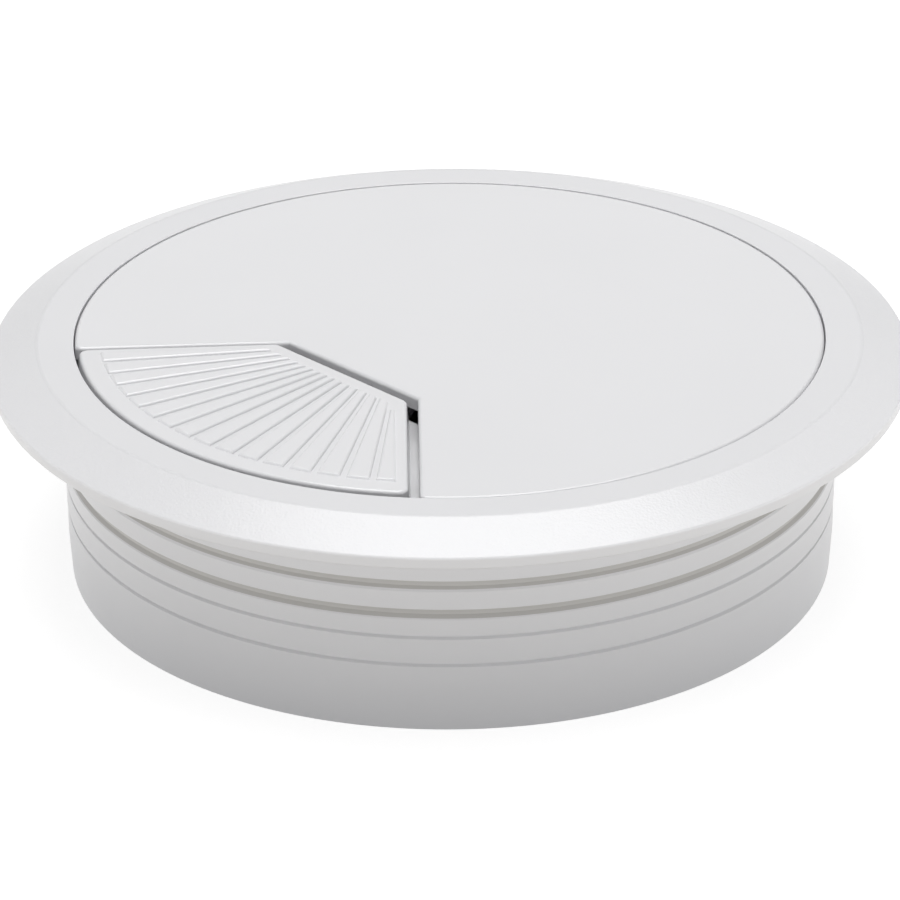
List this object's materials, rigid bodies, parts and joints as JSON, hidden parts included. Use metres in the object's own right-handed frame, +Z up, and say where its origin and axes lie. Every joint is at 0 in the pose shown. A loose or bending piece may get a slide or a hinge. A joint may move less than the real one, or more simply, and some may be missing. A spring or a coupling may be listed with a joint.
{
  "type": "cable grommet",
  "caption": "Round flanged cable grommet for a desk hole, with a grooved sleeve, a flush turning cap and a ribbed fan-shaped flap that swings down to let cables through.",
  "frame": {"origin": "on the grommet's axis, at the lower rim of the sleeve", "axes": "+Z up out of the desk along the grommet's axis, -Y towards the viewer of the picture, with the cable outlet towards -X and -Y"},
  "size_m": [0.0942, 0.0942, 0.025],
  "materials": {
    "white_plastic": "satin moulded white"
  },
  "bodies": {
    "ring": {"sleeve_ring": "white_plastic"},
    "cap": {"cap": "white_plastic"},
    "flap": {"flap": "white_plastic"}
  },
  "joints": [
    {"name": "cap_turn", "type": "hinge", "parent": "ring", "child": "cap", "pos_m": [0, 0, 0.0248], "axis": [0, 0, 1], "continuous": true},
    {"name": "flap_swing", "type": "hinge", "parent": "cap", "child": "flap", "pos_m": [-0.00791, -0.00764, 0.0216], "axis": [0.6947, -0.7193, 0], "range_deg": [0, 50]}
  ]
}
